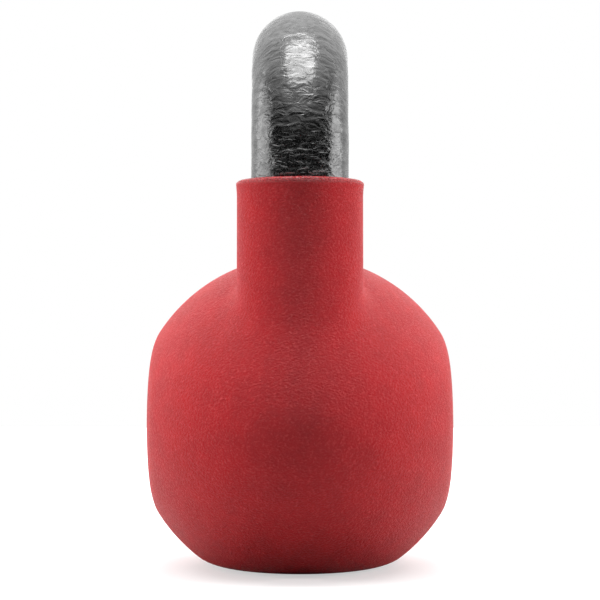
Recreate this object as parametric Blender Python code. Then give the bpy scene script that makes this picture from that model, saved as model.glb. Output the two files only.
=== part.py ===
"""Kettlebell: a bright steel arch seated in a cast iron core, under a red moulded cover.

The frame has +X along the grip, the flat front towards -Y and +Z up, with the origin on the
floor under the middle of the base. All sizes are in metres.

Pieces: red_cover, iron_core, handle, leg_bolt_left, leg_bolt_right, lock_washer_left,
lock_washer_right and base_plug. Left is -X and right is +X.
"""

import math

import bmesh
import bpy
import numpy as np

# Body: an egg-shaped bell, wide along the grip, cut flat at the front, the back and the base.
BODY_HALF_WIDTH = 0.094      # from the middle to the widest point, along X
BODY_RADIUS = 0.0624         # of the round section across the grip
FACE_CUT = 0.0065            # taken off the round section by each flat face
BASE_CUT = 0.0094            # taken off the round section by the resting face
EDGE_ROUNDING = 0.0045       # depth over which a flat face rolls into the round
COVER_SKIN = 0.005           # thickness of the cover over the core

# Handle: one bent bar.
BAR_DIAMETER = 0.035
BEND_RADIUS = 0.0374         # of the bar's centre line at each shoulder
LEG_LEAN = math.radians(2.5)  # how far each leg leans outwards, going down
BARE_LEG = 0.01075           # from the sleeve's rim up to the start of the bend

# Sleeves: the cover's two collars round the legs.
SLEEVE_WALL = 0.005          # from the leg's surface to the sleeve's outside
SLEEVE_INSET = 0.0175        # from the body's widest point in to the sleeve's outer side
SLEEVE_RISE = 0.0259         # from the top of the body up to the rim
LIP_PROUD = 0.0003           # how far the rolled lip stands out of the sleeve
LIP_HEIGHT = 0.006
LIP_ROUNDING = 0.0008
SWEEP_START = 0.010          # below the rim, where the sleeve starts to sweep outwards
SWEEP_LENGTH = 0.056         # from there down to where the sweep stops
SWEEP_OUT = 0.0068           # how far out the sleeve is carried over that length
ROOT_TIGHT_UP = 0.005        # fillet at a sleeve's root, up the sleeve, on its inner side
ROOT_TIGHT_OUT = 0.005       # the same, out over the body
ROOT_FLARE_UP = 0.014        # the larger fillet on the outer side, up the sleeve
ROOT_FLARE_OUT = 0.014       # the same, out over the body

# Fastening: a cap screw from below pulls each leg into its socket.
BOLT_DIAMETER = 0.012
BOLT_LENGTH = 0.055          # under the head
BOLT_GRIP = 0.020            # the stretch that threads into the leg
HEAD_DIAMETER = 0.018
HEAD_HEIGHT = 0.012
HEX_ACROSS_FLATS = 0.010
HEX_DEPTH = 0.006
HEAD_SUNK = 0.0015           # the head's end to the underside of the core
WASHER_DIAMETER = 0.0205
WASHER_THICKNESS = 0.0025
WASHER_SPLIT = 0.0025        # width of the slit that makes it a spring
BORE_CLEARANCE = 0.0006      # radial, round a bolt's shank and its washer

# Base plug: fills the hole by which the core is held in the mould.
PLUG_DIAMETER = 0.036
PLUG_STEM_DIAMETER = 0.012
PLUG_STEM_LENGTH = 0.012
PLUG_CHAMFER = 0.0006

BAR_END_CHAMFER = 0.001
BOLT_CHAMFER = 0.0008
THREAD_RUN_OUT = 0.003       # depth of a tapped hole past the end of its bolt
FIT_GAP = 0.0003             # kept between two pieces that touch
CUT_PAST = 0.004             # how far a cutter runs past the surface that it opens

# Fineness of the round shapes.
COVER_SIDES = 48             # round a sleeve
CORE_SIDES = 32
CORE_RINGS = 17
BAR_SIDES = 32
BOLT_SIDES = 24
BODY_RINGS = 11
SLEEVE_RINGS = 6
ROOT_RINGS = 5
BEND_RINGS = 10

BODY_CENTRE = np.array([0.0, 0.0, BODY_RADIUS - BASE_CUT])
BODY_TOP = BODY_CENTRE[2] + BODY_RADIUS
SLEEVE_RADIUS = BAR_DIAMETER / 2 + SLEEVE_WALL
RIM_HEIGHT = BODY_TOP + SLEEVE_RISE
LEG_DOWN = np.array([math.sin(LEG_LEAN), 0.0, -math.cos(LEG_LEAN)])
LEG_OUT = np.array([math.cos(LEG_LEAN), 0.0, math.sin(LEG_LEAN)])
LEG_SIDE = np.array([0.0, 1.0, 0.0])
RIM_CENTRE = np.array([BODY_HALF_WIDTH - SLEEVE_INSET - SLEEVE_RADIUS, 0.0, RIM_HEIGHT])
MIRROR = np.array([-1.0, 1.0, 1.0])
SIDES = ((-1, "left"), (1, "right"))


def clear_scene():
    """Remove what the scene holds at the start."""
    for item in list(bpy.data.objects):
        bpy.data.objects.remove(item, do_unlink=True)


def material(name, colour, roughness, metallic):
    """A plain Principled material; colour is linear red, green and blue."""
    made = bpy.data.materials.new(name)
    made.use_nodes = True
    shader = made.node_tree.nodes["Principled BSDF"]
    shader.inputs["Base Color"].default_value = (*colour, 1.0)
    shader.inputs["Roughness"].default_value = roughness
    shader.inputs["Metallic"].default_value = metallic
    return made


def loft(name, rings, finish=None):
    """A closed solid through a stack of rings, with a flat cap on the first and the last."""
    count, sides = rings.shape[:2]
    mesh = bpy.data.meshes.new(name)
    corner = np.arange(count * sides).reshape(count, sides)
    beyond = np.roll(corner, -1, axis=1)
    quads = np.stack([corner[:-1], beyond[:-1], beyond[1:], corner[1:]], axis=-1)
    faces = quads.reshape(-1, 4).tolist() + [corner[0, ::-1].tolist(), corner[-1].tolist()]
    mesh.from_pydata(rings.reshape(-1, 3).tolist(), [], faces)
    shape = bmesh.new()
    shape.from_mesh(mesh)
    bmesh.ops.triangulate(shape, faces=shape.faces, quad_method="FIXED")
    bmesh.ops.recalc_face_normals(shape, faces=shape.faces)
    shape.to_mesh(mesh)
    shape.free()
    mesh.shade_smooth()
    mesh.set_sharp_from_angle(angle=math.radians(35))
    if finish:
        mesh.materials.append(finish)
    made = bpy.data.objects.new(name, mesh)
    bpy.context.scene.collection.objects.link(made)
    return made


def cut(piece, cutter):
    """Take the cutter's shape out of the piece; the cutter itself is left out of the model."""
    cutter.hide_render = True
    cutter.display_type = "WIRE"
    step = piece.modifiers.new(cutter.name, "BOOLEAN")
    step.operation = "DIFFERENCE"
    step.solver = "EXACT"
    step.object = cutter


def circle_angles(sides):
    """Evenly spaced angles once round."""
    return np.arange(sides) * math.tau / sides


def leg_ring(centre, radius, sides, out=LEG_OUT):
    """A circle about the centre, square to the bar; out is the direction of its first point."""
    angles = circle_angles(sides)[:, None]
    return centre + radius * (np.cos(angles) * out + np.sin(angles) * LEG_SIDE)


def turned(name, profile, side, sides, finish=None):
    """A round solid on a leg's axis; profile is (distance below the rim, radius) in order."""
    rings = [leg_ring(RIM_CENTRE + LEG_DOWN * down, radius, sides) for down, radius in profile]
    return loft(name, np.array(rings) * (MIRROR if side < 0 else 1.0), finish)


def upright(name, profile, finish=None):
    """A round solid on the Z axis; profile is (height, radius) in order."""
    angles = circle_angles(BAR_SIDES)
    rings = [np.stack([radius * np.cos(angles), radius * np.sin(angles),
                       np.full(BAR_SIDES, height)], axis=-1) for height, radius in profile]
    return loft(name, np.array(rings), finish)


def body_reach(heading, shrink):
    """Distance from the body's middle to its surface along each unit heading.

    The surface is an ellipsoid, then each flat cut is blended in with a smooth minimum, which is
    the plain minimum except where the two distances are closer than the rounding.
    """
    half = np.array([BODY_HALF_WIDTH, BODY_RADIUS, BODY_RADIUS]) - shrink
    reach = 1.0 / np.linalg.norm(heading / half, axis=-1)
    face = (BODY_RADIUS - FACE_CUT - shrink) / np.maximum(np.abs(heading[..., 1]), 1e-6)
    base = (BODY_RADIUS - BASE_CUT - shrink) / np.maximum(-heading[..., 2], 1e-6)
    for cut_reach in (face, base):
        near = np.maximum(1.0 - np.abs(reach - cut_reach) / EDGE_ROUNDING, 0.0)
        reach = np.minimum(reach, cut_reach) - near ** 2 * EDGE_ROUNDING / 4
    return reach


def body_point(heading, shrink=0.0):
    """The point of the body's surface along each unit heading from its middle."""
    return BODY_CENTRE + heading * body_reach(heading, shrink)[..., None]


def unit(vectors):
    """The same directions, one long."""
    return vectors / np.linalg.norm(vectors, axis=-1, keepdims=True)


def turn_towards(first, last, share):
    """The unit direction a share of the way round from the first to the last."""
    angle = np.arccos(np.clip(np.sum(first * last, axis=-1, keepdims=True), -1.0, 1.0))
    return (np.sin((1.0 - share) * angle) * first + np.sin(share * angle) * last) / np.sin(angle)


def plain_body(name, shrink, finish=None):
    """The bare body, all of it this much smaller than the cover, as rings round the X axis."""
    angles = circle_angles(CORE_SIDES)
    rings = []
    for tilt in np.linspace(0.0, math.pi, CORE_RINGS + 2)[1:-1]:
        heading = np.stack([np.full(CORE_SIDES, math.cos(tilt)),
                            math.sin(tilt) * np.sin(angles),
                            -math.sin(tilt) * np.cos(angles)], axis=-1)
        rings.append(body_point(heading, shrink))
    return loft(name, np.array(rings), finish)


def wall_point(ring, down, sweep):
    """Each line of a ring carried down a leg, and outwards by a parabola of the distance."""
    share = np.clip((down - SWEEP_START) / SWEEP_LENGTH, 0.0, 1.0)
    return ring + down[..., None] * LEG_DOWN + (sweep * share ** 2)[..., None] * LEG_OUT


def leg_line_crosses_body(radius, sides, shrink, outside, sweep=0.0):
    """How far below the rim each line round a leg crosses the body's surface.

    The crossing lies between the height of the body's middle and the stated distance below the
    rim, which is outside the body, and is found by halving.
    """
    ring = leg_ring(RIM_CENTRE, radius, sides)
    inner = np.full(sides, RIM_HEIGHT - BODY_CENTRE[2])
    outer = np.full(sides, outside)
    for _ in range(40):
        middle = (inner + outer) / 2
        offset = wall_point(ring, middle, sweep) - BODY_CENTRE
        inside = np.linalg.norm(offset, axis=-1) < body_reach(unit(offset), shrink)
        inner = np.where(inside, middle, inner)
        outer = np.where(inside, outer, middle)
    return inner


def cover_half():
    """Rings of the cover's outside, from the right sleeve's rim to the middle of the body.

    Each line down a sleeve's side sweeps outwards, leaves the sleeve on a cubic curve and lands
    on the body along the great circle that leads to the middle section. The root's curve is
    large on the outer side and tight elsewhere.
    """
    angles = circle_angles(COVER_SIDES)
    outward = (1.0 + np.cos(angles)) / 2
    meet = leg_line_crosses_body(SLEEVE_RADIUS, COVER_SIDES, 0.0, 0.0, SWEEP_OUT)
    up = np.minimum(ROOT_TIGHT_UP + (ROOT_FLARE_UP - ROOT_TIGHT_UP) * outward ** 3,
                    0.8 * (meet - LIP_HEIGHT))
    out = ROOT_TIGHT_OUT + (ROOT_FLARE_OUT - ROOT_TIGHT_OUT) * outward ** 1.5
    lip = SLEEVE_RADIUS + LIP_PROUD
    soft = 0.3 * LIP_ROUNDING
    lip_profile = ((0.0, lip - LIP_ROUNDING), (soft, lip - soft), (LIP_ROUNDING, lip),
                   (LIP_HEIGHT - LIP_ROUNDING, lip))
    rings = [leg_ring(RIM_CENTRE + LEG_DOWN * down, radius, COVER_SIDES)
             for down, radius in lip_profile]
    wall = leg_ring(RIM_CENTRE, SLEEVE_RADIUS, COVER_SIDES)
    leave = meet - up
    for share in np.arange(SLEEVE_RINGS) / SLEEVE_RINGS:
        rings.append(wall_point(wall, LIP_HEIGHT + share * (leave - LIP_HEIGHT), SWEEP_OUT))

    crease = wall_point(wall, meet, SWEEP_OUT)
    first = unit(crease - BODY_CENTRE)
    middle = np.stack([np.zeros(COVER_SIDES), np.sin(angles), -np.cos(angles)], axis=-1)
    turn = np.arccos(np.clip(np.sum(first * middle, axis=-1), -1.0, 1.0))
    land = (out / (np.linalg.norm(crease - BODY_CENTRE, axis=-1) * turn))[:, None]
    start = wall_point(wall, leave, SWEEP_OUT)
    leaving = unit(wall_point(wall, leave + 1e-5, SWEEP_OUT) - start)
    end = body_point(turn_towards(first, middle, land))
    ahead = body_point(turn_towards(first, middle, land + 0.01))
    span = np.linalg.norm(end - start, axis=-1, keepdims=True)
    first_pull = start + leaving * span * 0.35
    last_pull = end - unit(ahead - end) * span * 0.35
    for share in np.arange(ROOT_RINGS) / ROOT_RINGS:
        rest = 1.0 - share
        rings.append(rest ** 3 * start + 3 * rest ** 2 * share * first_pull
                     + 3 * rest * share ** 2 * last_pull + share ** 3 * end)
    for share in np.arange(BODY_RINGS) / BODY_RINGS:
        rings.append(body_point(turn_towards(first, middle, land + (1.0 - land) * share)))
    middle_ring = body_point(middle)
    return np.array(rings), middle_ring


HEAD_HOLE = HEAD_DIAMETER / 2 + BORE_CLEARANCE
HEAD_END = leg_line_crosses_body(HEAD_HOLE, BOLT_SIDES, COVER_SKIN, RIM_HEIGHT).min() - HEAD_SUNK
HEAD_SEAT = HEAD_END - HEAD_HEIGHT                    # underside of the head, below the rim
LEG_END = HEAD_SEAT - (BOLT_LENGTH - BOLT_GRIP)       # bottom of the leg, below the rim


def make_red_cover():
    """The moulded skin: the flared outside, less the core, the legs and the plug's hole."""
    red = material("red rubber", (0.38, 0.014, 0.018), 0.62, 0.0)
    half, middle_ring = cover_half()
    other = (half * MIRROR)[::-1]
    cover = loft("red_cover", np.concatenate([half, middle_ring[None], other]), red)
    cut(cover, plain_body("cavity_cutter", COVER_SKIN - FIT_GAP))
    bore = BAR_DIAMETER / 2 + FIT_GAP
    profile = ((-CUT_PAST, bore), (RIM_HEIGHT - BODY_CENTRE[2], bore))
    for side, word in SIDES:
        cut(cover, turned(f"{word}_leg_cutter", profile, side, BAR_SIDES))
    hole = PLUG_DIAMETER / 2 + FIT_GAP
    cut(cover, upright("plug_cutter", ((-CUT_PAST, hole), (COVER_SKIN + CUT_PAST, hole))))


def make_iron_core():
    """The cast body: a socket for each leg, its bolt's stepped hole, and the locating hole."""
    iron = material("cast iron", (0.045, 0.045, 0.048), 0.7, 0.9)
    core = plain_body("iron_core", COVER_SKIN, iron)
    socket = BAR_DIAMETER / 2 + FIT_GAP
    socket_floor = LEG_END + FIT_GAP
    shank = BOLT_DIAMETER / 2 + BORE_CLEARANCE
    seat = HEAD_SEAT - WASHER_THICKNESS - 2 * FIT_GAP
    counterbore = WASHER_DIAMETER / 2 + BORE_CLEARANCE
    profile = ((0.0, socket), (socket_floor, socket), (socket_floor, shank), (seat, shank),
               (seat, counterbore), (RIM_HEIGHT, counterbore))
    for side, word in SIDES:
        cut(core, turned(f"{word}_socket_cutter", profile, side, BAR_SIDES))
    stem = PLUG_STEM_DIAMETER / 2 + FIT_GAP
    top = COVER_SKIN + PLUG_STEM_LENGTH + FIT_GAP
    cut(core, upright("locating_hole_cutter", ((COVER_SKIN - CUT_PAST, stem), (top, stem))))


def handle_rings():
    """Rings along the bar from the right leg's end over the arch to the left leg's end."""
    radius = BAR_DIAMETER / 2
    foot_profile = ((LEG_END, radius - BAR_END_CHAMFER), (LEG_END - BAR_END_CHAMFER, radius),
                    (0.0, radius))
    rings = [leg_ring(RIM_CENTRE + LEG_DOWN * down, width, BAR_SIDES)
             for down, width in foot_profile]
    corner = RIM_CENTRE - LEG_DOWN * BARE_LEG
    bend = min(BEND_RADIUS, corner[0] / LEG_OUT[0])
    pivot = corner - LEG_OUT * bend
    for angle in np.linspace(LEG_LEAN, math.pi / 2, BEND_RINGS):
        out = np.array([math.cos(angle), 0.0, math.sin(angle)])
        rings.append(leg_ring(pivot + bend * out, radius, BAR_SIDES, out))
    half = np.array(rings)
    return np.concatenate([half, (half * MIRROR)[::-1]])


def make_handle():
    """The bent bar, with a tapped hole up into the end of each leg."""
    steel = material("bright steel", (0.28, 0.28, 0.29), 0.25, 1.0)
    handle = loft("handle", handle_rings(), steel)
    bore = BOLT_DIAMETER / 2 + FIT_GAP
    profile = ((LEG_END - BOLT_GRIP - THREAD_RUN_OUT, bore), (LEG_END + CUT_PAST, bore))
    for side, word in SIDES:
        cut(handle, turned(f"{word}_thread_cutter", profile, side, BOLT_SIDES))


def make_leg_bolts():
    """Two socket head cap screws, one on each leg's axis, with their heads downwards."""
    black = material("black steel", (0.03, 0.03, 0.032), 0.45, 0.9)
    tip = HEAD_SEAT - BOLT_LENGTH
    shank = BOLT_DIAMETER / 2
    head = HEAD_DIAMETER / 2
    profile = ((tip, shank - BOLT_CHAMFER), (tip + BOLT_CHAMFER, shank), (HEAD_SEAT, shank),
               (HEAD_SEAT, head), (HEAD_END - BOLT_CHAMFER, head),
               (HEAD_END, head - BOLT_CHAMFER))
    corner = HEX_ACROSS_FLATS / 2 / math.cos(math.pi / 6)
    hexagon = ((HEAD_END - HEX_DEPTH, corner), (HEAD_END + CUT_PAST, corner))
    for side, word in SIDES:
        bolt = turned(f"leg_bolt_{word}", profile, side, BOLT_SIDES, black)
        cut(bolt, turned(f"{word}_hex_cutter", hexagon, side, 6))


def make_lock_washers():
    """Two split spring washers: square-edged rings that stop short of closing."""
    zinc = material("zinc plated steel", (0.5, 0.5, 0.52), 0.4, 1.0)
    inner = BOLT_DIAMETER / 2 + FIT_GAP
    outer = WASHER_DIAMETER / 2
    bottom = HEAD_SEAT - FIT_GAP
    top = bottom - WASHER_THICKNESS
    section = ((top, inner), (top, outer), (bottom, outer), (bottom, inner))
    split = WASHER_SPLIT / (inner + outer)
    rings = []
    for angle in np.linspace(split, math.tau - split, BAR_SIDES):
        spoke = math.cos(angle) * LEG_OUT + math.sin(angle) * LEG_SIDE
        rings.append([RIM_CENTRE + LEG_DOWN * down + spoke * radius for down, radius in section])
    for side, word in SIDES:
        loft(f"lock_washer_{word}", np.array(rings) * (MIRROR if side < 0 else 1.0), zinc)


def make_base_plug():
    """The plug: a disc flush with the base, and a stem up into the core's locating hole."""
    black = material("black rubber", (0.02, 0.02, 0.02), 0.8, 0.0)
    disc = PLUG_DIAMETER / 2
    stem = PLUG_STEM_DIAMETER / 2
    shoulder = COVER_SKIN - FIT_GAP
    top = COVER_SKIN + PLUG_STEM_LENGTH
    profile = ((0.0, disc - PLUG_CHAMFER), (PLUG_CHAMFER, disc), (shoulder, disc),
               (shoulder, stem), (top - PLUG_CHAMFER, stem), (top, stem - PLUG_CHAMFER))
    upright("base_plug", profile, black)


clear_scene()
make_red_cover()
make_iron_core()
make_handle()
make_leg_bolts()
make_lock_washers()
make_base_plug()
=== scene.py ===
"""The looks of a kettlebell: a rippled bright steel handle over a red moulded rubber cover.

The frame is in metres, with +X along the grip, the flat front towards -Y and +Z up.
The camera looks along -X, at the bell's end, so the near leg hides the far one.
"""

import math

import bmesh
import bpy
import numpy as np
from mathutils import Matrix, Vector


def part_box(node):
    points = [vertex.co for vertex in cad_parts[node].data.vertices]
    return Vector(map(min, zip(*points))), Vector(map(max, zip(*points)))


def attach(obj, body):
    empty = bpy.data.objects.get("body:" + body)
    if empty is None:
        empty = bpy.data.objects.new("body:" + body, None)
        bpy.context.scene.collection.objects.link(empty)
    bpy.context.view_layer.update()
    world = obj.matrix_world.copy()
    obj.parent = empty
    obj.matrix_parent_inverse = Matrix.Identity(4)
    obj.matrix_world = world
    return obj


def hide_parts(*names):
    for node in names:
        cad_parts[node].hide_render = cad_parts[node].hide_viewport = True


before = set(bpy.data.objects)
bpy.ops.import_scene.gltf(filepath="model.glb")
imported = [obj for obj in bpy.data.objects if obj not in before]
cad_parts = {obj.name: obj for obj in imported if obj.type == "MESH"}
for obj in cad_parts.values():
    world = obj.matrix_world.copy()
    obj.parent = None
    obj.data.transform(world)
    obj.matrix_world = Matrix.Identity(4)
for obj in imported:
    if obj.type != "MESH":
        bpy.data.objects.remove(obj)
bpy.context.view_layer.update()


# ---------------------------------------------------------------------------------------------
# Camera: a long lens a little over a metre from the bell, which keeps its sides nearly upright.
# It looks level from about half the bell's height.
# ---------------------------------------------------------------------------------------------
CAMERA_DISTANCE = 1.123
CAMERA_HEIGHT = 0.0989
SENSOR_WIDTH = 36.0
LENS_LENGTH = 180.0

camera_data = bpy.data.cameras.new("camera")
camera_data.sensor_width = SENSOR_WIDTH
camera_data.lens = LENS_LENGTH
camera = bpy.data.objects.new("camera", camera_data)
camera.location = (CAMERA_DISTANCE, 0.0, CAMERA_HEIGHT)
camera.rotation_euler = (math.pi / 2, 0.0, math.pi / 2)
bpy.context.scene.collection.objects.link(camera)
bpy.context.scene.camera = camera
bpy.context.scene.view_settings.view_transform = "Standard"


# ---------------------------------------------------------------------------------------------
# Red cover: a skin of red rubber about 5 mm thick, moulded in one piece over the core. Two
# sleeves rise round the handle's legs and end in a thin rolled lip. Each sleeve sweeps outwards
# on its way down to the body, with a large fillet at its outer foot and a tight one elsewhere.
# ---------------------------------------------------------------------------------------------
cover_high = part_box("red_cover")[1]
handle_low, handle_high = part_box("handle")
BODY_HALF_WIDTH = float(cover_high[0])
BODY_RADIUS = 0.0624
FACE_HALF_DEPTH = float(cover_high[1])
BODY_CENTRE_HEIGHT = 0.053
EDGE_ROUNDING = 0.0045
COVER_SKIN = 0.0048
LEG_RADIUS = float(handle_high[1] - handle_low[1]) / 2
LEG_LEAN = math.radians(2.5)
SLEEVE_RADIUS = LEG_RADIUS + 0.005
SLEEVE_INSET = 0.0175
RIM_HEIGHT = 0.1413
BORE_RADIUS = LEG_RADIUS + 0.0002
LIP_PROUD = 0.0003
LIP_HEIGHT = 0.006
LIP_ROUNDING = 0.0016
LIP_INNER_ROUNDING = 0.0004
ROOT_TIGHT_UP = 0.005
ROOT_TIGHT_OUT = 0.005
ROOT_FLARE_UP = 0.014
ROOT_FLARE_OUT = 0.014
ROOT_PULL = 0.35
ROOT_MOST = 0.8
NO_ROOT = 1e-4
SWEEP_START = 0.010
SWEEP_LENGTH = 0.056
SWEEP_OUT = 0.0068
AROUND = 160
HALVINGS = 40
SMALL_STEP = 1e-5
AHEAD = 0.01

body_centre = np.array([0.0, 0.0, BODY_CENTRE_HEIGHT])
leg_down = np.array([math.sin(LEG_LEAN), 0.0, -math.cos(LEG_LEAN)])
leg_out = np.array([math.cos(LEG_LEAN), 0.0, math.sin(LEG_LEAN)])
side_way = np.array([0.0, 1.0, 0.0])
rim_centre = np.array([BODY_HALF_WIDTH - SLEEVE_INSET - SLEEVE_RADIUS, 0.0, RIM_HEIGHT])
mirror = np.array([-1.0, 1.0, 1.0])
around = np.arange(AROUND) * math.tau / AROUND


def unit(vectors):
    """Each vector divided by its length."""
    return vectors / np.linalg.norm(vectors, axis=-1, keepdims=True)


def leg_circle(down, radius):
    """A circle square to the leg, a distance down from the rim: centre + r (cos a out + sin a side)."""
    spokes = np.cos(around)[:, None] * leg_out + np.sin(around)[:, None] * side_way
    return rim_centre + np.asarray(down).reshape(-1, 1) * leg_down + radius * spokes


def body_reach(heading, shrink):
    """Distance from the body's middle to its surface along each unit heading.

    An ellipsoid's 1 / |heading / half sizes|, cut by the front, back and base planes at
    distance / |heading across the plane|. Each cut is blended in with a smooth minimum: the
    smaller distance, less (1 - difference / rounding) squared x rounding / 4 near the edge.
    """
    half = np.array([BODY_HALF_WIDTH, BODY_RADIUS, BODY_RADIUS]) - shrink
    reach = 1.0 / np.linalg.norm(heading / half, axis=-1)
    face = (FACE_HALF_DEPTH - shrink) / np.maximum(np.abs(heading[..., 1]), 1e-6)
    base = (BODY_CENTRE_HEIGHT - shrink) / np.maximum(-heading[..., 2], 1e-6)
    for cut in (face, base):
        near = np.maximum(1.0 - np.abs(reach - cut) / EDGE_ROUNDING, 0.0)
        reach = np.minimum(reach, cut) - near ** 2 * EDGE_ROUNDING / 4
    return reach


def body_point(heading, shrink):
    """The body's middle plus each unit heading times the reach along it."""
    return body_centre + heading * body_reach(heading, shrink)[..., None]


def turn_towards(first, last, share):
    """The unit direction a share of the great circle from first to last:
    (sin((1 - s) A) first + sin(s A) last) / sin A, with A the angle between them."""
    angle = np.arccos(np.clip(np.sum(first * last, axis=-1, keepdims=True), -1.0, 1.0))
    return (np.sin((1.0 - share) * angle) * first + np.sin(share * angle) * last) / np.sin(angle)


def wall_point(wall, down, sweep):
    """A point of each wall line: straight along the leg, carried outwards by a parabola,
    sweep x (distance below the start / sweep's length) squared."""
    share = np.clip((down - SWEEP_START) / SWEEP_LENGTH, 0.0, 1.0)
    return wall + down[..., None] * leg_down + (sweep * share ** 2)[..., None] * leg_out


def half_skin(radius, shrink, sweep, up, out, straight, root, body):
    """Rings of one side of the skin, from the rim to the middle section, as (rings, around, 3).

    Down each line of the sleeve: its swept wall, then a cubic curve that leaves along the wall
    and lands along the body, then the body's surface along a great circle to the middle section.
    The curve starts `up` above the place where the line would pierce the body, and ends `out`
    beyond it. Where each line pierces the body is found by halving.
    """
    inner = np.full(AROUND, RIM_HEIGHT - BODY_CENTRE_HEIGHT)
    outer = np.zeros(AROUND)
    wall = leg_circle(0.0, radius)
    for _ in range(HALVINGS):
        middle = (inner + outer) / 2
        offset = wall_point(wall, middle, sweep) - body_centre
        inside = np.linalg.norm(offset, axis=-1) < body_reach(unit(offset), shrink)
        inner = np.where(inside, middle, inner)
        outer = np.where(inside, outer, middle)
    meet = wall_point(wall, inner, sweep) - body_centre
    leave = inner - np.minimum(up, ROOT_MOST * (inner - LIP_HEIGHT))
    first = unit(meet)
    last = np.stack([np.zeros(AROUND), np.sin(around), -np.cos(around)], axis=-1)
    turn = np.arccos(np.clip(np.sum(first * last, axis=-1, keepdims=True), -1.0, 1.0))
    land = out[:, None] / (np.linalg.norm(meet, axis=-1, keepdims=True) * turn)

    share = np.linspace(0.0, 1.0, straight, endpoint=False)[:, None]
    rings = [wall_point(wall, LIP_HEIGHT + share * (leave - LIP_HEIGHT), sweep)]
    start = wall_point(wall, leave, sweep)
    leaving = unit(wall_point(wall, leave + SMALL_STEP, sweep) - start)
    end = body_point(turn_towards(first, last, land), shrink)
    ahead = body_point(turn_towards(first, last, land + AHEAD), shrink)
    span = np.linalg.norm(end - start, axis=-1, keepdims=True)
    first_pull = start + leaving * span * ROOT_PULL
    last_pull = end - unit(ahead - end) * span * ROOT_PULL
    share = np.linspace(0.0, 1.0, root, endpoint=False)[:, None, None]
    rest = 1.0 - share
    rings.append(rest ** 3 * start + 3 * rest ** 2 * share * first_pull
                 + 3 * rest * share ** 2 * last_pull + share ** 3 * end)
    share = np.linspace(0.0, 1.0, body)[:, None, None]
    rings.append(body_point(turn_towards(first, last, land + (1.0 - land) * share), shrink))
    return np.concatenate(rings)


def both_sides(half):
    """The half's rings, then its mirror image's in reverse, sharing the middle ring."""
    return np.concatenate([half, (half * mirror)[-2::-1]])


def grid_mesh(name, points, wrap_rings):
    """A mesh of quads over a (rings, around, 3) grid that closes round, and lengthwise if asked."""
    count, sides = points.shape[:2]
    corner = np.arange(count * sides).reshape(count, sides)
    if wrap_rings:
        corner = np.concatenate([corner, corner[:1]])
    beyond = np.roll(corner, -1, axis=1)
    quads = np.stack([corner[:-1], beyond[:-1], beyond[1:], corner[1:]], axis=-1).reshape(-1, 4)
    made = bpy.data.meshes.new(name)
    made.from_pydata(points.reshape(-1, 3).tolist(), [], quads.tolist())
    return made


def place(name, mesh):
    """A new object for the mesh, at the origin."""
    made = bpy.data.objects.new(name, mesh)
    bpy.context.scene.collection.objects.link(made)
    return made


outward = (1.0 + np.cos(around)) / 2
root_up = ROOT_TIGHT_UP + (ROOT_FLARE_UP - ROOT_TIGHT_UP) * outward ** 3
root_out = ROOT_TIGHT_OUT + (ROOT_FLARE_OUT - ROOT_TIGHT_OUT) * outward ** 1.5
outside = half_skin(SLEEVE_RADIUS, 0.0, SWEEP_OUT, root_up, root_out, straight=40, root=24, body=60)
no_root = np.full(AROUND, NO_ROOT)
inside = half_skin(BORE_RADIUS, COVER_SKIN, 0.0, no_root, no_root, straight=3, root=2, body=14)

# The lip's section, from the bore up over its rounded top to the sleeve: a small quarter round
# on the inner edge, a flat, a larger quarter round, and a cosine step down to the sleeve.
lip_radius = SLEEVE_RADIUS + LIP_PROUD
quarter = np.linspace(0.0, math.pi / 2, 7)
inner_edge = np.stack([LIP_INNER_ROUNDING * (1 - np.sin(quarter)),
                       BORE_RADIUS + LIP_INNER_ROUNDING * (1 - np.cos(quarter))], -1)
outer_edge = np.stack([LIP_ROUNDING * (1 - np.cos(quarter)),
                       lip_radius - LIP_ROUNDING * (1 - np.sin(quarter))], -1)
step = np.linspace(0.15, 0.95, 8)
lip_side = np.stack([LIP_HEIGHT * step,
                     SLEEVE_RADIUS + LIP_PROUD * (1 + np.cos(math.pi * step)) / 2], -1)
lip_section = np.concatenate([inner_edge, outer_edge, lip_side])
lip = np.stack([leg_circle(down, radius) for down, radius in lip_section])

right_half = np.concatenate([lip, outside])
skin = np.concatenate([both_sides(right_half), both_sides(inside)[::-1]])
red_cover = place("red_cover_skin", grid_mesh("red_cover_skin", skin, True))


# The plug's hole through the skin's underside, cut with a round cutter that is then removed.
PLUG_RADIUS = float(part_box("base_plug")[1][0])
PLUG_CLEARANCE = 0.0002
HOLE_RADIUS = PLUG_RADIUS + PLUG_CLEARANCE
CUT_BELOW = 0.002
CUT_ABOVE = 0.0085
ROUND_SIDES = 128
CRISP_EDGE = math.radians(50)


def upright_rings(profile, sides):
    """Rings round the Z axis from (height, radius) pairs: (r cos a, r sin a, height)."""
    angle = np.arange(sides) * math.tau / sides
    height, radius = np.array(profile).T[:, :, None]
    return np.stack([radius * np.cos(angle), radius * np.sin(angle),
                     height + 0.0 * angle], axis=-1)


def capped_mesh(name, points):
    """The grid's quads with a flat cap on its first and last ring, facing out."""
    made = grid_mesh(name, points, False)
    shape = bmesh.new()
    shape.from_mesh(made)
    bmesh.ops.holes_fill(shape, edges=shape.edges)
    bmesh.ops.recalc_face_normals(shape, faces=shape.faces)
    shape.to_mesh(made)
    shape.free()
    return made


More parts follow.
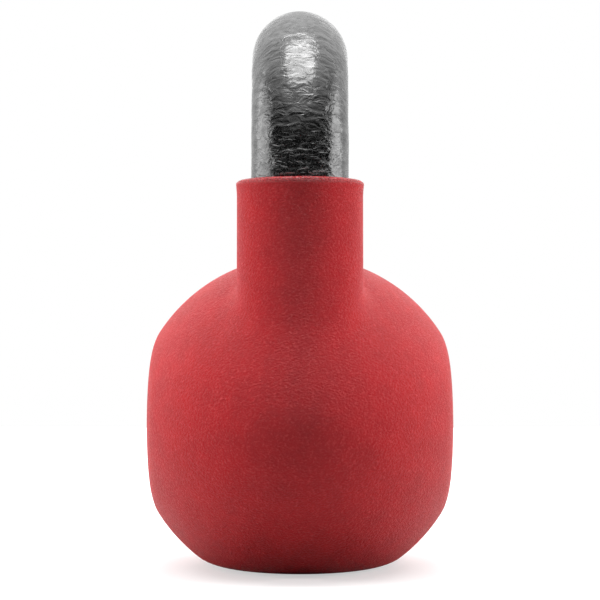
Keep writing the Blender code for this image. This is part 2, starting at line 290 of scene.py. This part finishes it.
hole_profile = ((-CUT_BELOW, HOLE_RADIUS), (CUT_ABOVE, HOLE_RADIUS))
hole_cutter = place("plug_hole_cutter", capped_mesh("plug_hole_cutter",
                                                    upright_rings(hole_profile, ROUND_SIDES)))
hole = red_cover.modifiers.new("plug hole", "BOOLEAN")
hole.solver = "EXACT"
hole.object = hole_cutter
bpy.context.view_layer.update()
drilled = bpy.data.meshes.new_from_object(
    red_cover.evaluated_get(bpy.context.evaluated_depsgraph_get()))
red_cover.modifiers.clear()
red_cover.data = drilled
bpy.data.objects.remove(hole_cutter)
drilled.shade_smooth()
drilled.set_sharp_from_angle(angle=CRISP_EDGE)


def linear(hex_colour):
    """Linear red, green, blue and alpha of an sRGB hex colour."""
    channel = np.array([int(hex_colour[i:i + 2], 16) for i in (1, 3, 5)]) / 255
    value = np.where(channel <= 0.04045, channel / 12.92, ((channel + 0.055) / 1.055) ** 2.4)
    return (*value.tolist(), 1.0)


def add(tree, kind, inputs=None, **settings):
    """A node with its settings; an input is given a value or the output that feeds it."""
    made = tree.nodes.new(kind)
    for setting, value in settings.items():
        setattr(made, setting, value)
    for socket, value in (inputs or {}).items():
        if isinstance(value, bpy.types.NodeSocket):
            tree.links.new(value, made.inputs[socket])
        else:
            made.inputs[socket].default_value = value
    return made


def new_material(name):
    """An empty node material: its tree and its Principled shader, wired to the output."""
    made = bpy.data.materials.new(name)
    made.use_nodes = True
    made.node_tree.nodes.clear()
    shader = add(made.node_tree, "ShaderNodeBsdfPrincipled")
    add(made.node_tree, "ShaderNodeOutputMaterial", {"Surface": shader.outputs["BSDF"]})
    return made, made.node_tree, shader


def noise(tree, where, size, detail, roughness, distortion=0.0):
    """A noise texture's value at (place / size), so that its blobs are about a size across."""
    return add(tree, "ShaderNodeTexNoise", {
        "Vector": where, "Scale": 1 / size, "Detail": detail, "Roughness": roughness,
        "Distortion": distortion}).outputs["Fac"]


def two_tone(tree, value, low, low_colour, high, high_colour):
    """One colour up to the low value and another from the high one, blended evenly between."""
    made = add(tree, "ShaderNodeValToRGB", {"Fac": value})
    first, last = made.color_ramp.elements
    first.position = low
    first.color = linear(low_colour)
    last.position = high
    last.color = linear(high_colour)
    return made.outputs["Color"]


def spread(tree, value, limits, results):
    """A value carried in a straight line from between two limits to between two results."""
    return add(tree, "ShaderNodeMapRange", {
        "Value": value, "From Min": limits[0], "From Max": limits[1],
        "To Min": results[0], "To Max": results[1]}).outputs["Result"]


def raised(tree, height, depth, under=None):
    """The way that a surface faces when it is raised by height x depth over the one under it."""
    made = add(tree, "ShaderNodeBump", {"Height": height, "Distance": depth, "Strength": 1.0})
    if under:
        tree.links.new(under, made.inputs["Normal"])
    return made.outputs["Normal"]


def wire(tree, shader, colour, roughness, normal, metallic=0.0):
    """Feed a shader its colour, roughness and surface, and say how much of it is bare metal."""
    tree.links.new(colour, shader.inputs["Base Color"])
    tree.links.new(roughness, shader.inputs["Roughness"])
    tree.links.new(normal, shader.inputs["Normal"])
    shader.inputs["Metallic"].default_value = metallic


# Rubber moulded against a lightly grained tool: matte, with a fine leathery grain, a slow
# unevenness of the skin, and a slight cloudiness of the pigment. The grain's raised tops are
# painted a lighter red: painted highlights, flecks of light where the grain catches it.
# The lip is smoother, rubbed by the tool as it leaves, and catches a thin bright line.
GRAIN_WIDTH = 0.00065
GRAIN_LENGTH = 0.0009
GRAIN_DEPTH = 0.00075
GRAIN_SLANT = (math.radians(24), 0.0, math.radians(12))
UNEVEN_SIZE = 0.009
UNEVEN_DEPTH = 0.00005
NOISE_MIDDLE = (0.3, 0.7)
# The grain's raised tops, and how far they are painted towards the painted highlight red.
PAINTED_GLINT_GRAIN = (0.52, 0.72)
PAINTED_GLINT_SHARE = (0.0, 0.6)
RUBBER_ROUGHNESS = (0.54, 0.4)
LIP_ROUGHNESS = 0.26
LIP_SHINE = (0.33, 1.0)
LIP_EDGE = (RIM_HEIGHT - 0.0016, RIM_HEIGHT - 0.0006)
RED = "#AE131A"
RED_DEEP = "#A21118"
# A lighter red painted on the grain's tops as a painted highlight.
RED_PAINTED_GLINT = "#C83C40"

rubber, tree, shader = new_material("red rubber moulded with a fine leather grain")
where = add(tree, "ShaderNodeTexCoord").outputs["Object"]
slanted = add(tree, "ShaderNodeMapping", {
    "Vector": where, "Rotation": GRAIN_SLANT,
    "Scale": (1 / GRAIN_LENGTH, 1 / GRAIN_LENGTH, 1 / GRAIN_WIDTH)}).outputs["Vector"]
grain = noise(tree, slanted, 1.0, 2.0, 0.55, distortion=0.6)
cloud = noise(tree, where, UNEVEN_SIZE, 3.0, 0.5)
pigment = two_tone(tree, cloud, 0.3, RED_DEEP, 0.7, RED)
# Painted highlight: the grain's raised tops are mixed towards a lighter red, as flecks of light.
colour = add(tree, "ShaderNodeMix", {
    "Factor": spread(tree, grain, PAINTED_GLINT_GRAIN, PAINTED_GLINT_SHARE), 6: pigment, 7: linear(RED_PAINTED_GLINT)},
    data_type="RGBA").outputs[2]
dullness = spread(tree, grain, NOISE_MIDDLE, RUBBER_ROUGHNESS)
height = add(tree, "ShaderNodeSeparateXYZ", {"Vector": where}).outputs["Z"]
on_lip = spread(tree, height, LIP_EDGE, (0.0, 1.0))
gloss = add(tree, "ShaderNodeMix", {0: on_lip, 2: dullness, 3: LIP_ROUGHNESS}).outputs[0]
uneven = raised(tree, cloud, UNEVEN_DEPTH)
wire(tree, shader, colour, gloss, raised(tree, grain, GRAIN_DEPTH, uneven))
shine = spread(tree, on_lip, (0.0, 1.0), LIP_SHINE)
tree.links.new(shine, shader.inputs["Specular IOR Level"])
red_cover.data.materials.clear()
red_cover.data.materials.append(rubber)
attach(red_cover, "root")
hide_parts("red_cover")


# ---------------------------------------------------------------------------------------------
# Handle: one round bar of bright steel, bent hot into an arch and left with the small crinkled
# dimples of its rolling and bending. Each leg has a blind tapped hole up its end for a screw.
# ---------------------------------------------------------------------------------------------
BEND_RADIUS = 0.0374
BARE_LEG = 0.01075
BAR_END_CHAMFER = 0.001
THREAD_HOLE_RADIUS = 0.0063
THREAD_HOLE_DEPTH = 0.023
BAR_SLACK = 0.00004
BAR_WAVES = ((3, 260.0, 0.0), (2, -170.0, 0.0), (0, 430.0, 1.7))
LEG_START = 0.002
LEG_STEPS = 60
BEND_STEPS = 120
FLAT_STEPS = 12
BAR_CRISP_EDGE = math.radians(35)

# From the rim down to the leg's end, along its lean.
leg_end = (RIM_HEIGHT - float(handle_low[2]) - (LEG_RADIUS - BAR_END_CHAMFER)
           * math.sin(LEG_LEAN)) / math.cos(LEG_LEAN)


def bar_rings():
    """The bar's surface and its own straightened coordinates, as two (rings, around, 3) grids.

    The profile is carried up the blind hole's wall, across the leg's end and up the leg, then
    round the bend as centre + r (cos a out + sin a side), with the out direction turning from
    the leg's to straight up, and along the short flat top to the middle. The bar's radius
    wanders by its slack times the sum of a few waves, sin(times x a + rate x along + start).
    """
    end_steps = ((leg_end - THREAD_HOLE_DEPTH, THREAD_HOLE_RADIUS),
                 (leg_end, THREAD_HOLE_RADIUS),
                 (leg_end, LEG_RADIUS - BAR_END_CHAMFER),
                 (leg_end - BAR_END_CHAMFER, LEG_RADIUS))
    leg_steps = [(down, LEG_RADIUS)
                 for down in np.linspace(leg_end - LEG_START, -BARE_LEG, LEG_STEPS,
                                         endpoint=False)]
    down, radius = np.array([*end_steps, *leg_steps]).T
    corner = rim_centre - leg_down * BARE_LEG
    bend = min(BEND_RADIUS, corner[0] / leg_out[0])
    turn = np.linspace(LEG_LEAN, math.pi / 2, BEND_STEPS)
    centre = np.concatenate([
        rim_centre + down[:, None] * leg_down,
        corner - leg_out * bend
        + bend * np.stack([np.cos(turn), 0.0 * turn, np.sin(turn)], axis=-1)])
    out = np.concatenate([
        np.repeat(leg_out[None], len(down), axis=0),
        np.stack([np.cos(turn), 0.0 * turn, np.sin(turn)], axis=-1)])
    radius = np.concatenate([radius, np.full(len(turn), LEG_RADIUS)])
    along = np.concatenate([-down, BARE_LEG + (turn - LEG_LEAN) * bend])
    if centre[-1, 0] > 1e-6:
        flat = np.linspace(centre[-1, 0], 0.0, FLAT_STEPS)[1:]
        centre = np.concatenate([centre, np.stack([flat, 0 * flat, 0 * flat + centre[-1, 2]], -1)])
        out = np.concatenate([out, np.repeat(out[-1:], len(flat), axis=0)])
        radius = np.concatenate([radius, np.full(len(flat), LEG_RADIUS)])
        along = np.concatenate([along, along[-1] + centre[-FLAT_STEPS, 0] - flat])
    angle = around[None]
    along = along[:, None]
    whole = radius[:, None] == LEG_RADIUS
    slack = BAR_SLACK * whole * sum(np.sin(times * angle + rate * along + start)
                                    for times, rate, start in BAR_WAVES)
    spoke = (np.cos(angle)[..., None] * out[:, None]
             + np.sin(angle)[..., None] * side_way)
    within = radius[:, None] - BAR_SLACK * len(BAR_WAVES) * whole + slack
    points = centre[:, None] + within[..., None] * spoke
    straight = np.stack([radius[:, None] * np.cos(angle), radius[:, None] * np.sin(angle),
                         along - along[-1] + 0.0 * angle], axis=-1)
    other = straight * np.array([1.0, 1.0, -1.0])
    return both_sides(points), np.concatenate([straight, other[-2::-1]])


bar_points, bar_straight = bar_rings()
bar = place("handle_bar", capped_mesh("handle_bar", bar_points))
unrolled = bar.data.attributes.new("straight_bar", "FLOAT_VECTOR", "POINT")
unrolled.data.foreach_set("vector", bar_straight.astype(np.float32).ravel())
bar.data.shade_smooth()
bar.data.set_sharp_from_angle(angle=BAR_CRISP_EDGE)

# Bright steel, rippled all over: shallow crinkled dimples longer round the bar than along it,
# finer wrinkles in them, and a soft polish that keeps the lights' edges ragged but bright.
RIPPLE_ROUND = 0.0050
RIPPLE_ALONG = 0.0019
RIPPLE_DEPTH = 0.00046
WRINKLE_SIZE = 0.0008
WRINKLE_DEPTH = 0.00005
STEEL_ROUGHNESS = (0.16, 0.3)
STEEL = "#8F8F8F"
STEEL_DARK = "#747474"

steel, tree, shader = new_material("bright steel crinkled by hot bending")
where = add(tree, "ShaderNodeAttribute", attribute_name="straight_bar").outputs["Vector"]
stretched = add(tree, "ShaderNodeMapping", {
    "Vector": where,
    "Scale": (1 / RIPPLE_ROUND, 1 / RIPPLE_ROUND, 1 / RIPPLE_ALONG)}).outputs["Vector"]
ripple = noise(tree, stretched, 1.0, 2.5, 0.5, distortion=0.8)
wrinkle = noise(tree, where, WRINKLE_SIZE, 2.0, 0.6)
rippled = raised(tree, ripple, RIPPLE_DEPTH)
wire(tree, shader, two_tone(tree, ripple, 0.35, STEEL_DARK, 0.6, STEEL),
     spread(tree, wrinkle, NOISE_MIDDLE, STEEL_ROUGHNESS),
     raised(tree, wrinkle, WRINKLE_DEPTH, rippled), metallic=1.0)
bar.data.materials.append(steel)
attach(bar, "root")
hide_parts("handle")


# ---------------------------------------------------------------------------------------------
# Iron core: the weight itself, cast in sand in one piece and then drilled for the leg bolts.
# The cover hides it, so its solid is shown as it was drawn.
# ---------------------------------------------------------------------------------------------

# Raw grey iron: dull and nearly black, gritty from the sand, with faint brown blooms of rust.
SAND_GRAIN = 0.0011
SAND_DEPTH = 0.00025
BLOOM_SIZE = 0.018
IRON_ROUGHNESS = (0.55, 0.8)
IRON = "#3A3A3C"
IRON_RUST = "#4A3C34"

iron, tree, shader = new_material("grey iron cast in sand")
where = add(tree, "ShaderNodeTexCoord").outputs["Object"]
sand = noise(tree, where, SAND_GRAIN, 4.0, 0.65)
bloom = noise(tree, where, BLOOM_SIZE, 5.0, 0.6)
wire(tree, shader, two_tone(tree, bloom, 0.42, IRON, 0.68, IRON_RUST),
     spread(tree, sand, NOISE_MIDDLE, IRON_ROUGHNESS),
     raised(tree, sand, SAND_DEPTH), metallic=0.9)


def finish_node(node, material):
    """Give a piece that is shown as it was drawn its material."""
    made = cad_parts[node]
    made.data.materials.clear()
    made.data.materials.append(material)


finish_node("iron_core", iron)


# ---------------------------------------------------------------------------------------------
# Leg bolts: two M12 socket head cap screws, heads downwards, that pull the legs into the core.
# They are cold headed and rolled, then blackened in hot oxide salts.
# ---------------------------------------------------------------------------------------------

# Blacked steel: a soft satin black, patchy where the salts took less, over fine lines along the
# screw that were left when its wire was drawn.
BLACKING_PATCH = 0.004
DRAW_LINE = 0.0004
DRAW_STRETCH = 0.06
DRAW_DEPTH = 0.00003
BLACKED_ROUGHNESS = (0.5, 0.36)
BLACKED = "#232427"
BLACKED_WORN = "#3A3A3C"

blacked, tree, shader = new_material("black oxide over cold headed steel")
where = add(tree, "ShaderNodeTexCoord").outputs["Object"]
patch = noise(tree, where, BLACKING_PATCH, 4.0, 0.6)
drawn = add(tree, "ShaderNodeMapping", {
    "Vector": where,
    "Scale": (1 / DRAW_LINE, 1 / DRAW_LINE, DRAW_STRETCH / DRAW_LINE)}).outputs["Vector"]
wire(tree, shader, two_tone(tree, patch, 0.45, BLACKED, 0.75, BLACKED_WORN),
     spread(tree, patch, NOISE_MIDDLE, BLACKED_ROUGHNESS),
     raised(tree, noise(tree, drawn, 1.0, 2.0, 0.5), DRAW_DEPTH), metallic=0.9)
finish_node("leg_bolt_left", blacked)
finish_node("leg_bolt_right", blacked)


# ---------------------------------------------------------------------------------------------
# Lock washers: split rings coiled from square spring wire, one under each bolt's head.
# They are hardened, then zinc plated to a pale and slightly cloudy bright finish.
# ---------------------------------------------------------------------------------------------

# Bright zinc: pale and a little blue, in soft clouds, with the tiny pits of barrel plating.
ZINC_CLOUD = 0.0025
ZINC_PIT = 0.0005
ZINC_DEPTH = 0.00002
ZINC_ROUGHNESS = (0.28, 0.42)
ZINC = "#C3C7CA"
ZINC_BLUE = "#A9B0B8"

zinc, tree, shader = new_material("bright zinc plated spring steel")
where = add(tree, "ShaderNodeTexCoord").outputs["Object"]
cloud = noise(tree, where, ZINC_CLOUD, 3.0, 0.55)
wire(tree, shader, two_tone(tree, cloud, 0.35, ZINC_BLUE, 0.65, ZINC),
     spread(tree, cloud, NOISE_MIDDLE, ZINC_ROUGHNESS),
     raised(tree, noise(tree, where, ZINC_PIT, 2.0, 0.5), ZINC_DEPTH), metallic=1.0)
finish_node("lock_washer_left", zinc)
finish_node("lock_washer_right", zinc)


# ---------------------------------------------------------------------------------------------
# Base plug: a moulded black rubber disc, flush with the base, whose stem is pressed up into the
# core. It fills the hole by which the core was held while the cover was moulded.
# ---------------------------------------------------------------------------------------------
PLUG_TOP = float(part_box("base_plug")[1][2])
PLUG_SHOULDER = 0.0047
PLUG_STEM_RADIUS = 0.006
PLUG_EDGE = 0.0008
PLUG_CRISP_EDGE = math.radians(35)

edge = PLUG_EDGE * np.sin(quarter)
plug_profile = np.concatenate([
    np.stack([PLUG_EDGE - PLUG_EDGE * np.cos(quarter), PLUG_RADIUS - PLUG_EDGE + edge], -1),
    [[PLUG_SHOULDER, PLUG_RADIUS], [PLUG_SHOULDER, PLUG_STEM_RADIUS],
     [PLUG_TOP - PLUG_EDGE, PLUG_STEM_RADIUS], [PLUG_TOP, PLUG_STEM_RADIUS - PLUG_EDGE]]])
plug = place("base_plug_disc", capped_mesh("base_plug_disc",
                                           upright_rings(plug_profile, ROUND_SIDES)))
plug.data.shade_smooth()
plug.data.set_sharp_from_angle(angle=PLUG_CRISP_EDGE)

# Pressed black rubber: quite matte, finely pebbled by its mould, and greyed in places by dust.
SPEW_SIZE = 0.0006
SPEW_DEPTH = 0.00007
DUST_SIZE = 0.006
PLUG_ROUGHNESS = (0.62, 0.82)
BLACK = "#1A1A1B"
BLACK_DUSTY = "#2C2B2B"

black, tree, shader = new_material("black rubber compression moulded")
where = add(tree, "ShaderNodeTexCoord").outputs["Object"]
spew = noise(tree, where, SPEW_SIZE, 3.0, 0.6)
dust = noise(tree, where, DUST_SIZE, 4.0, 0.6)
wire(tree, shader, two_tone(tree, dust, 0.4, BLACK, 0.75, BLACK_DUSTY),
     spread(tree, spew, NOISE_MIDDLE, PLUG_ROUGHNESS),
     raised(tree, spew, SPEW_DEPTH))
plug.data.materials.append(black)
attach(plug, "root")
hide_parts("base_plug")


# ---------------------------------------------------------------------------------------------
# Floor: a wide sheet of matte white card, lit from below as well as above until it is as white
# as the wall behind. The light from below keeps the bell's shadow pale, and it grows with the
# distance from the bell so that the far edge of the sheet does not show.
# ---------------------------------------------------------------------------------------------
FLOOR_SIZE = 2.4
FLOOR_LINES = 13

floor_way = np.linspace(-FLOOR_SIZE / 2, FLOOR_SIZE / 2, FLOOR_LINES)
floor_x, floor_y = np.meshgrid(floor_way, floor_way, indexing="ij")
floor_points = np.stack([floor_x, floor_y, 0.0 * floor_x], axis=-1)
corner = np.arange(floor_x.size).reshape(floor_x.shape)
floor_quads = np.stack([corner[:-1, :-1], corner[1:, :-1], corner[1:, 1:], corner[:-1, 1:]], -1)
floor_mesh = bpy.data.meshes.new("floor")
floor_mesh.from_pydata(floor_points.reshape(-1, 3).tolist(), [],
                       floor_quads.reshape(-1, 4).tolist())
floor = place("floor", floor_mesh)

# Card with a fine tooth pressed in by its felt: quite matte, so that the bell has a soft shadow
# and no reflection. What it throws back on to the bell is a little dimmer than what is seen.
CARD_TOOTH = 0.0015
CARD_DEPTH = 0.00002
CARD_ROUGHNESS = 0.9
CARD_SHINE = 0.1
CARD_GLOW = (0.5, 1.0)
GLOW_DISTANCES = (0.3, 0.9)
CARD = "#BCBCBC"
CARD_BOUNCE = "#BABABA"
WHITE = "#FFFFFF"

card, tree, shader = new_material("matte white card")
where = add(tree, "ShaderNodeTexCoord").outputs["Object"]
pressed = raised(tree, noise(tree, where, CARD_TOOTH, 2.0, 0.5), CARD_DEPTH)
tree.links.new(pressed, shader.inputs["Normal"])
shader.inputs["Base Color"].default_value = linear(CARD)
shader.inputs["Roughness"].default_value = CARD_ROUGHNESS
shader.inputs["Specular IOR Level"].default_value = CARD_SHINE
shader.inputs["Emission Color"].default_value = linear(WHITE)
away = add(tree, "ShaderNodeVectorMath", {0: where}, operation="LENGTH").outputs["Value"]
tree.links.new(spread(tree, away, GLOW_DISTANCES, CARD_GLOW), shader.inputs["Emission Strength"])
dim = add(tree, "ShaderNodeBsdfDiffuse", {"Color": linear(CARD_BOUNCE)})
seen = add(tree, "ShaderNodeMixShader", {
    0: add(tree, "ShaderNodeLightPath").outputs["Is Camera Ray"],
    1: dim.outputs["BSDF"], 2: shader.outputs["BSDF"]})
tree.links.new(seen.outputs["Shader"], tree.nodes["Material Output"].inputs["Surface"])
floor.data.materials.append(card)


# ---------------------------------------------------------------------------------------------
# Lights: a white room lit by large soft panels. Some only wash the rubber and the floor with
# light; the others are the shapes that the bright steel mirrors: two panels overhead with a
# narrow gap between them, a broad one at each side, and two narrow ones behind. The wall
# behind the camera is dark.
# ---------------------------------------------------------------------------------------------
BELL_MIDDLE = (0.0, 0.0, 0.1)
ROOM_BEHIND = 0.52
ROOM_BEHIND_LIMITS = (0.05, -0.8)
ROOM_ABOVE = 0.42
ROOM_ABOVE_LIMITS = (0.25, 0.95)
ROOM_MIRRORED = 1.6


def panel(name, power, turn, rise, distance, width, height, use):
    """A soft light facing the bell: turn from straight ahead towards +Y and rise above level,
    in degrees, and the use that it is put to, "wash" or "mirror"."""
    data = bpy.data.lights.new(name, "AREA")
    data.shape = "RECTANGLE"
    data.size = width
    data.size_y = height
    data.energy = power
    made = bpy.data.objects.new(name, data)
    way = Vector((math.cos(math.radians(rise)) * math.cos(math.radians(turn)),
                  math.cos(math.radians(rise)) * math.sin(math.radians(turn)),
                  math.sin(math.radians(rise))))
    made.location = Vector(BELL_MIDDLE) + distance * way
    made.rotation_euler = (-way).to_track_quat("-Z", "Y").to_euler()
    made.visible_glossy = use == "mirror"
    made.visible_diffuse = use == "wash"
    bpy.context.scene.collection.objects.link(made)


# Each has its name, watts, turn, rise, distance, width and height in metres, and use.
panel("overhead_wash", 20.0, 0, 86, 1.15, 2.0, 0.34, "wash")
panel("overhead_back_wash", 5.0, 180, 40, 1.15, 2.0, 0.5, "wash")
panel("front_left_wash", 0.45, -25, 4, 1.6, 0.4, 0.3, "wash")
panel("front_right_wash", 0.45, 25, 4, 1.6, 0.4, 0.3, "wash")
panel("left_wash", 11.4, -95, 9, 1.15, 0.3, 0.45, "wash")
panel("right_wash", 11.4, 95, 9, 1.15, 0.3, 0.45, "wash")
panel("back_left_wash", 5.4, -150, 18, 1.15, 0.3, 0.7, "wash")
panel("back_right_wash", 5.4, 150, 18, 1.15, 0.3, 0.7, "wash")
panel("overhead_front_panel", 1.7, 0, 66.5, 1.15, 0.9, 0.29, "mirror")
panel("overhead_back_panel", 4.2, 0, 87, 1.15, 0.95, 0.42, "mirror")
panel("left_strip", 2.4, -97, 14, 1.15, 0.95, 0.6, "mirror")
panel("right_strip", 2.2, 94, 14, 1.15, 0.75, 0.6, "mirror")
panel("back_left_strip", 0.3, -172, 12, 1.15, 0.2, 0.6, "mirror")
panel("back_right_strip", 0.3, 172, 12, 1.15, 0.2, 0.6, "mirror")

world = bpy.data.worlds.new("white room")
bpy.context.scene.world = world
world.use_nodes = True
tree = world.node_tree
tree.nodes.clear()
heading = add(tree, "ShaderNodeSeparateXYZ", {
    "Vector": add(tree, "ShaderNodeTexCoord").outputs["Generated"]})
glows = []
for axis, limits, glow in (("X", ROOM_BEHIND_LIMITS, ROOM_BEHIND),
                           ("Z", ROOM_ABOVE_LIMITS, ROOM_ABOVE)):
    glows.append(add(tree, "ShaderNodeMapRange", {
        "Value": heading.outputs[axis], "From Min": limits[0], "From Max": limits[1],
        "To Min": 0.0, "To Max": glow}, interpolation_type="SMOOTHSTEP").outputs["Result"])
room_glow = add(tree, "ShaderNodeMath", {0: glows[0], 1: glows[1]}, operation="ADD").outputs[0]
paths = add(tree, "ShaderNodeLightPath")
mirrored = spread(tree, paths.outputs["Is Glossy Ray"], (0.0, 1.0), (1.0, ROOM_MIRRORED))
shaded = add(tree, "ShaderNodeMath", {
    0: room_glow, 1: mirrored}, operation="MULTIPLY")
room = add(tree, "ShaderNodeBackground", {
    "Color": linear(WHITE), "Strength": shaded.outputs[0]})
backdrop = add(tree, "ShaderNodeBackground", {"Color": linear(WHITE), "Strength": 1.0})
seen = add(tree, "ShaderNodeMixShader", {
    0: paths.outputs["Is Camera Ray"],
    1: room.outputs["Background"], 2: backdrop.outputs["Background"]})
add(tree, "ShaderNodeOutputWorld", {"Surface": seen.outputs["Shader"]})
